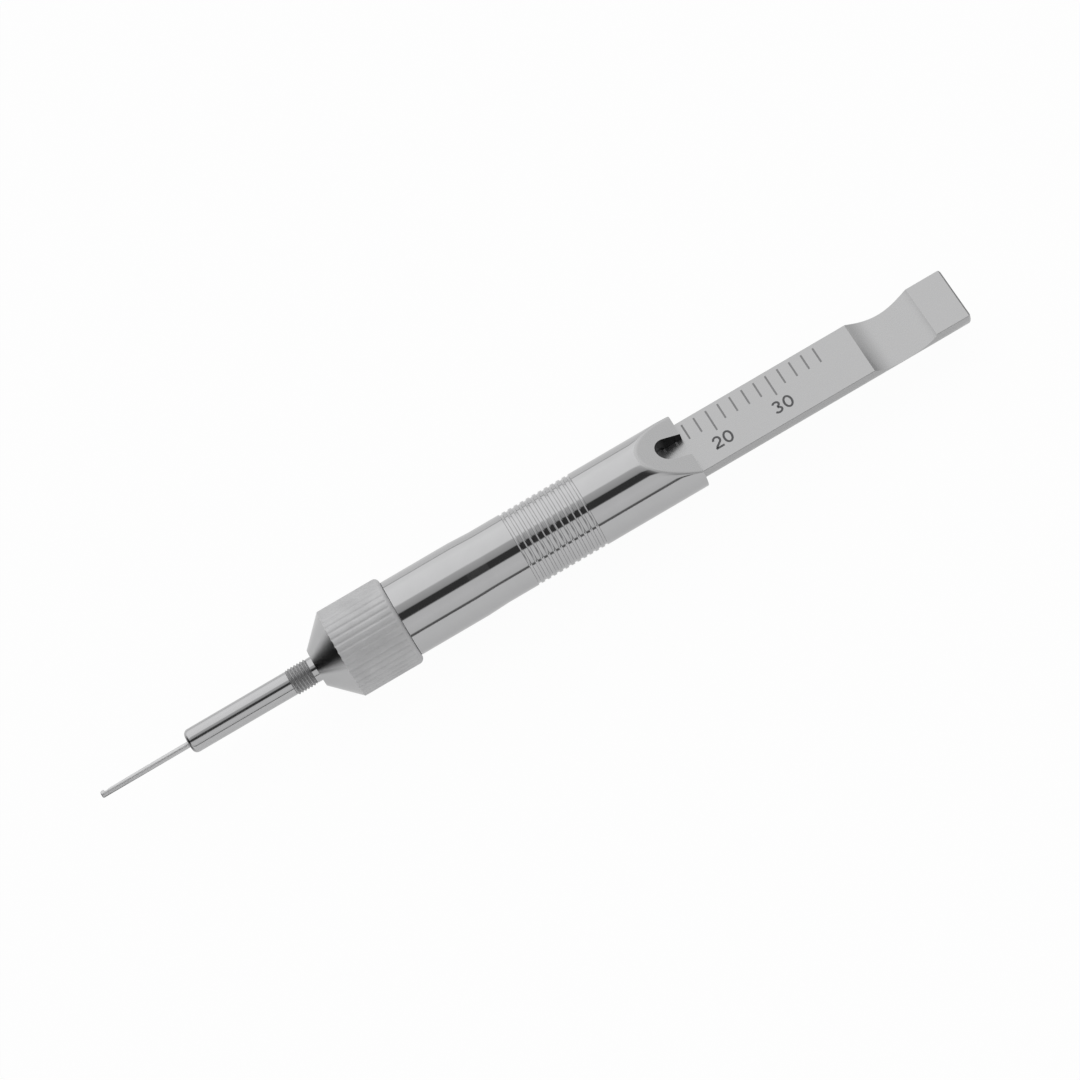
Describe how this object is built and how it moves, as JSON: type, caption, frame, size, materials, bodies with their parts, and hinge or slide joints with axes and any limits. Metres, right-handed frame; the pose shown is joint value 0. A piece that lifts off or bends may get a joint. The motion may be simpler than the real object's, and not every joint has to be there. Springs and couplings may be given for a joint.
{
  "type": "screw depth gauge",
  "caption": "Hand-held screw depth gauge: hooked needle in a slim sleeve, knurled nut, round barrel with a reading notch, and a sliding millimetre scale bar with a thumb recess.",
  "frame": {"origin": "centre of the protection sleeve's front edge, where a reading starts", "axes": "+X along the instrument towards the thumb end, +Z the outward normal of the scale face, +Y the side the hook points to"},
  "size_m": [0.1427, 0.014, 0.014],
  "materials": {
    "polished_steel": "polished stainless steel",
    "matte_steel": "fine matte stainless steel",
    "satin_steel": "satin stainless steel",
    "needle_steel": "ground stainless steel"
  },
  "bodies": {
    "barrel": {"barrel": "polished_steel"},
    "slide": {"slide_bar": "satin_steel", "needle_carrier": "satin_steel", "hook_needle": "needle_steel", "needle_screw": "needle_steel", "bar_dowel": "needle_steel", "friction_ring": "needle_steel"},
    "sleeve": {"protection_sleeve": "polished_steel"},
    "nut": {"clamping_nut": "matte_steel"}
  },
  "joints": [
    {"name": "slide_travel", "type": "slide", "parent": "barrel", "child": "slide", "axis": [-1, 0, 0], "range_m": [-0.015, 0.023]},
    {"name": "sleeve_release", "type": "slide", "parent": "barrel", "child": "sleeve", "axis": [-1, 0, 0], "range_m": [0, 0.0045]},
    {"name": "nut_turn", "type": "hinge", "parent": "sleeve", "child": "nut", "pos_m": [0.03, 0, 0], "axis": [-1, 0, 0], "range_deg": [0, 2160]}
  ],
  "couplings": [
    {"joint": "sleeve_release", "follows": "nut_turn", "m_per_rad": 0.00011937}
  ]
}
